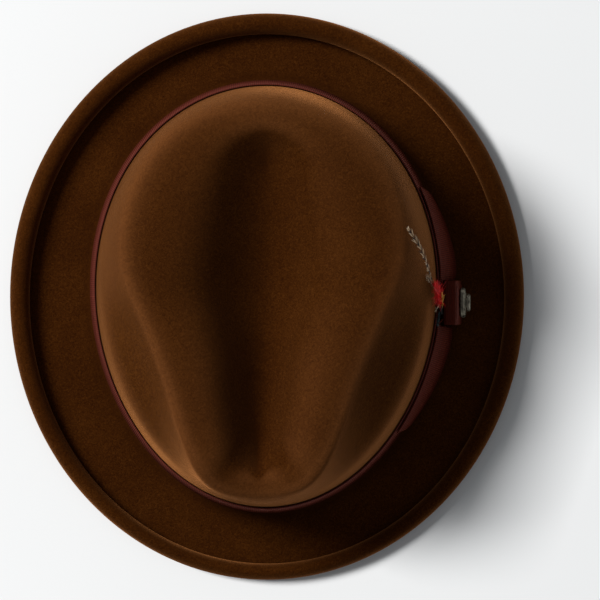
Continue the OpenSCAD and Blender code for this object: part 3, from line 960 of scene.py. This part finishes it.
@dataclass
class Sweatband:
    """Leather band inside the crown, with its stitches, edge tape, small bow and label.

    stitch_row is the length of the row of stitches, station is how many degrees apart the leather's
    inner face is measured, and sink is how far a stitch's middle stands in from that face.
    """

    stitch_pitch: float = 3.2 * MM
    stitch_long: float = 2.0 * MM
    stitch_wide: float = 0.42 * MM
    stitch_row: float = 0.56
    station: float = 3.75
    sink: float = 0.9 * MM

    def build(self, leather: bpy.types.Material, tape: bpy.types.Material,
              thread: bpy.types.Material) -> None:
        """Makes the sweatband's pieces.

        Args:
            leather: the band's finish.
            tape: the finish of the tape round the reed.
            thread: the stitches' finish.
        """
        band = node_copy("sweatband", "leather_sweatband")
        add_modifier(band, "BEVEL", width=0.25 * MM, segments=2, limit_method="ANGLE",
                     angle_limit=math.radians(50))
        RibbonRuler(band).lay(band)
        shade_smooth(band, 50.0)
        settle(band, "hat", "sweat_leather", leather, "sweatband")
        reed = node_copy("sweatband_reed", "taped_edge_reed")
        subdivide_smooth(reed, 1)
        RibbonRuler(reed).lay(reed)
        shade_smooth(reed)
        settle(reed, "hat", "reed_tape", tape, "sweatband_reed")
        self.stitches(band, thread, 7.0 * MM)
        bow = node_copy("sweatband_bow", "small_back_bow", quads=False)
        add_modifier(bow, "BEVEL", width=0.35 * MM, segments=2, limit_method="ANGLE",
                     angle_limit=math.radians(40))
        add_modifier(bow, "TRIANGULATE")
        shade_smooth(bow, 40.0)
        bow_cloth = PlainClothFinish("sweat_bow_ribbon", (0.035, 0.014, 0.010)).make()
        settle(bow, "hat", "sweat_bow_ribbon", bow_cloth, "sweatband_bow")
        paint(frame["nodes"]["size_label"], PlainClothFinish("label_cloth", (0.50, 0.44, 0.34)).make())

    def stitches(self, band: bpy.types.Object, thread: bpy.types.Material, height: float) -> None:
        """Adds one row of stitches on the inner face of the leather, at a height above its ground."""
        inner = sorted((math.atan2(v.co.y, v.co.x), v.co.copy()) for v in band.data.vertices)
        lowest = min(v.co.z for v in band.data.vertices)
        radius: dict[int, float] = {}
        for angle, place in inner:
            if place.z < lowest + 1.0 * MM:
                key = round(math.degrees(angle) / self.station)
                radius[key] = min(radius.get(key, 1.0), place.to_2d().length)
        keys = sorted(radius)
        bpy.ops.object.select_all(action="DESELECT")
        bpy.ops.mesh.primitive_uv_sphere_add(segments=6, ring_count=4, radius=0.5)
        pattern = bpy.context.object
        count = int(self.stitch_row / self.stitch_pitch)
        verts: list[Vector] = []
        faces: list[tuple[int, ...]] = []
        for k in range(count):
            angle = -math.pi + 2 * math.pi * (k + 0.5) / count
            at = math.degrees(angle) / self.station
            low = max([key for key in keys if key <= at], default=keys[0])
            high = min([key for key in keys if key >= at], default=keys[-1])
            share = 0.0 if high == low else (at - low) / (high - low)
            reach = radius[low] * (1 - share) + radius[high] * share - self.sink
            turn = Matrix.Rotation(angle, 3, "Z")
            first = len(verts)
            for v in pattern.data.vertices:
                local = Vector((v.co.x * self.stitch_wide, v.co.z * self.stitch_long,
                                v.co.y * self.stitch_wide))
                verts.append(turn @ (local + Vector((reach, 0.0, height))))
            faces += [tuple(first + i for i in face.vertices) for face in pattern.data.polygons]
        bpy.data.objects.remove(pattern, do_unlink=True)
        obj = make_piece("sweatband_stitches", verts, faces)
        shade_smooth(obj)
        settle(obj, "hat", "reed_tape", thread)


@dataclass
class Lining:
    """Satin lining: a gathered side piece, a tip that hangs under the crown, and a piped seam."""

    pleat: float = 0.35 * MM
    pleats: int = 46
    side_length: float = 0.57
    tip_allowance: float = 0.03

    def build(self, satin: bpy.types.Material, piping: bpy.types.Material) -> None:
        """Makes the lining's pieces from their finishes."""
        wall = node_copy("lining_wall", "lining_side")
        add_modifier(wall, "SUBSURF", levels=2, render_levels=2, subdivision_type="SIMPLE")
        for vertex in wall.data.vertices:
            angle = math.atan2(vertex.co.y, vertex.co.x)
            fold = self.pleat * (math.sin(self.pleats * angle + 0.8 * math.sin(5 * angle)) - 1.0)
            inward = Vector((vertex.co.x, vertex.co.y, 0.0)).normalized()
            vertex.co += inward * fold
        shade_smooth(wall, 60.0)
        settle(wall, "hat", "satin", satin, "lining_wall")
        tip = node_copy("lining_tip", "lining_crown_tip")
        subdivide_smooth(tip, 1)
        shade_smooth(tip, 60.0)
        settle(tip, "hat", "satin", satin, "lining_tip")
        seam = node_copy("lining_piping", "piped_seam")
        subdivide_smooth(seam, 1)
        RibbonRuler(seam).lay(seam)
        shade_smooth(seam)
        settle(seam, "hat", "piping", piping, "lining_piping")


# ---------------------------------------------------------------- studio

@dataclass
class Studio:
    """Floor, soft side light, weak fill and the camera straight above."""

    camera_height: float = 1.5
    view_width: float = 0.2923
    offset: tuple[float, float] = (0.0160, -0.0017)

    def build(self) -> None:
        """Adds the floor, the lights and the camera."""
        bpy.ops.object.select_all(action="DESELECT")
        bpy.ops.mesh.primitive_plane_add(size=6.0, location=(0, 0, -0.0002))
        floor = bpy.context.object
        floor.name = "studio_floor"
        s = Shader("studio_floor")
        s.link(s.ramp(s.noise(s.coords.outputs["Object"], 3.0), [(0.3, (0.86, 0.865, 0.862)),
                                                               (0.7, (0.88, 0.885, 0.882))]),
               s.bsdf.inputs["Base Color"])
        s.set(Roughness=0.9, Specular_IOR_Level=0.1)
        paint(floor, s.material)

        # The key lights all but the floor, and the lamp above lights the floor alone
        key = self.lamp("key", (-0.86, 0.51, 0.86), 2.2, 0.9, 42.0)
        above = self.lamp("above", (-0.82, 0.26, 1.0), 4.4, 1.1, 222.0)
        for lamp, state in ((key, "EXCLUDE"), (above, "INCLUDE")):
            lit = bpy.data.collections.new("floor_for_" + lamp.name)
            lit.objects.link(floor)
            lamp.light_linking.receiver_collection = lit
            lit.collection_objects[0].light_linking.link_state = state
        world = bpy.data.worlds.new("studio")
        world.use_nodes = True
        world.node_tree.nodes["Background"].inputs["Color"].default_value = (0.92, 0.96, 1.0, 1.0)
        world.node_tree.nodes["Background"].inputs["Strength"].default_value = 0.19
        bpy.context.scene.world = world
        bpy.context.scene.view_settings.view_transform = "Standard"

        camera = bpy.data.cameras.new("camera")
        camera.sensor_width = 36.0
        camera.lens = 36.0 * self.camera_height / self.view_width
        seat = bpy.data.objects.new("camera", camera)
        seat.location = (*self.offset, self.camera_height)
        bpy.context.scene.collection.objects.link(seat)
        bpy.context.scene.camera = seat

    @staticmethod
    def lamp(name: str, direction: tuple[float, float, float], distance: float, size: float,
             power: float) -> bpy.types.Object:
        """Adds a square area lamp that faces the hat from a direction."""
        light = bpy.data.lights.new(name, "AREA")
        light.size = size
        light.energy = power
        lamp = bpy.data.objects.new(name, light)
        where = Vector(direction).normalized()
        lamp.location = where * distance
        lamp.rotation_euler = where.to_track_quat("Z", "Y").to_euler()
        bpy.context.scene.collection.objects.link(lamp)
        return lamp


def main() -> None:
    """Builds the hat round its frame and reports each piece."""
    logging.basicConfig(level=logging.INFO, format="%(name)s: %(message)s")
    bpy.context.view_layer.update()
    Studio().build()
    FeltBody().build()
    knot = pin_place()
    bow_ribbon = GrosgrainFinish("bow_ribbon", (0.135, 0.0200, 0.0090), (0.042, 0.0052, 0.0025)).make()
    ruler = HatBand().build(GrosgrainFinish("band_ribbon").make())
    for side in Side:
        BowLoop(side).build(bow_ribbon, ruler, knot)
    BowKnot().build(bow_ribbon, knot)
    FeatherBunch().build(knot)
    pewter = MetalFinish("pewter").make()
    steel = MetalFinish("pin_steel", (0.60, 0.59, 0.57), (0.36, 0.35, 0.34), 0.25).make()
    brass = MetalFinish("clutch_brass", (0.62, 0.44, 0.16), (0.30, 0.19, 0.06)).make()
    pin_finishes = {"pin_plate": pewter, "pin_boss": pewter, "pin_post": steel, "pin_clutch": brass}
    for node, finish in pin_finishes.items():
        paint(frame["nodes"][node], finish)
    thread = PlainClothFinish("reed_tape", (0.030, 0.016, 0.010)).make()
    Sweatband().build(LeatherFinish("sweat_leather").make(), thread, thread)
    Lining().build(SatinFinish("satin").make(), SatinFinish("piping", (0.10, 0.025, 0.018)).make())


if __name__ == "__main__":
    main()
